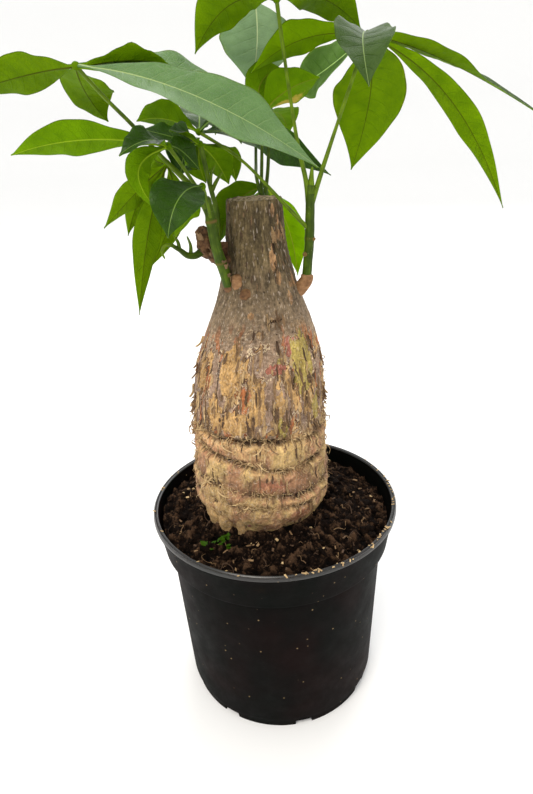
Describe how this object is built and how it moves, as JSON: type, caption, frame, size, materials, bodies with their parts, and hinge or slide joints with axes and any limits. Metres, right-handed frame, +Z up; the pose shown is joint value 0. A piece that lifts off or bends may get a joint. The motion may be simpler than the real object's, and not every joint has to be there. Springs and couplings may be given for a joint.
{
  "type": "potted plant",
  "caption": "Money tree with a swollen, sawn-off trunk, thin green shoots and hand-shaped leaves, in soil in a round tapered nursery pot with a collar and a rolled lip.",
  "frame": {"origin": "on the table, under the middle of the pot, on the small pad under its floor", "axes": "+Z up along the pot's axis and the trunk; -Y towards the side that is looked at first; +X to that viewer's right"},
  "size_m": [0.2366, 0.1813, 0.365],
  "materials": {
    "pot_plastic": "satin",
    "soil": "matte",
    "bark": "matte",
    "green_stem": "satin",
    "leaf": "satin"
  },
  "bodies": {
    "root": {"pot": "pot_plastic", "soil": "soil", "trunk": "bark", "right_shoot": "green_stem", "left_shoot": "green_stem", "back_shoot": "green_stem", "knob_shoot": "green_stem", "curled_sprout": "green_stem", "leaf_right_top": "leaf", "leaf_right_outer": "leaf", "leaf_right_inner": "leaf", "leaf_left_outer": "leaf", "leaf_left_upper": "leaf", "leaf_left_middle": "leaf", "leaf_left_low": "leaf", "leaf_left_front": "leaf", "leaf_back_middle": "leaf", "leaf_back_low": "leaf", "leaf_back_top": "leaf", "leaf_back_rear": "leaf"}
  },
  "joints": []
}
